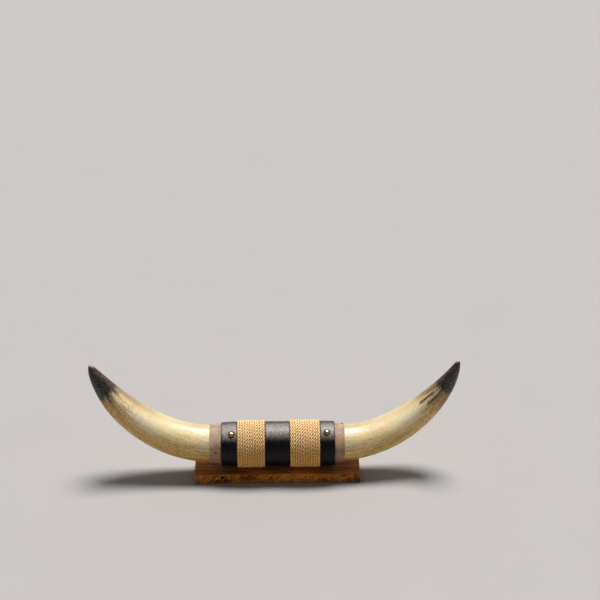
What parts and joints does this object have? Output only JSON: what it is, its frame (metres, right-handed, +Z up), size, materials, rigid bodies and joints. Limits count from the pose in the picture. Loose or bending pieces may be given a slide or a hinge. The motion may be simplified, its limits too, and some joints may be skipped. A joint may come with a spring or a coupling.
{
  "type": "mounted steer horns",
  "caption": "Pair of short cream steer horns with dark tips, joined by a leather and rope wrapped roller and mounted on a small wooden board as a shelf or desk ornament.",
  "frame": {"origin": "on the board's underside, below the middle of the roller, on the surface that it stands on", "axes": "+Z up; +X along the roller towards the right horn, the object's longest extent; -Y towards the front"},
  "size_m": [0.6117, 0.0817, 0.2026],
  "materials": {
    "horn": "polished natural horn, cream with charcoal tips, fine lengthwise grain",
    "collar_leather": "dusty mauve brown suede-like leather, matte",
    "black_leather": "smooth black leather, satin",
    "rope": "three-strand natural fibre rope, golden tan",
    "roller_wood": "bare turned wood",
    "board_wood": "dark stained and varnished wood, orange brown on the edges",
    "brass": "polished, slightly worn",
    "dark_iron": "dark, dull",
    "screw_steel": "plain steel"
  },
  "bodies": {
    "root": {"base_board": "board_wood", "roller_core": "roller_wood", "left_horn": "horn", "right_horn": "horn", "left_collar": "collar_leather", "right_collar": "collar_leather", "left_leather_band": "black_leather", "centre_leather_band": "black_leather", "right_leather_band": "black_leather", "left_rope_wrap": "rope", "right_rope_wrap": "rope", "front_left_tack": "brass", "front_right_tack": "brass", "back_left_tack": "brass", "back_right_tack": "brass", "left_collar_nail": "dark_iron", "right_collar_nail": "dark_iron", "left_base_screw": "screw_steel", "right_base_screw": "screw_steel"}
  },
  "joints": []
}
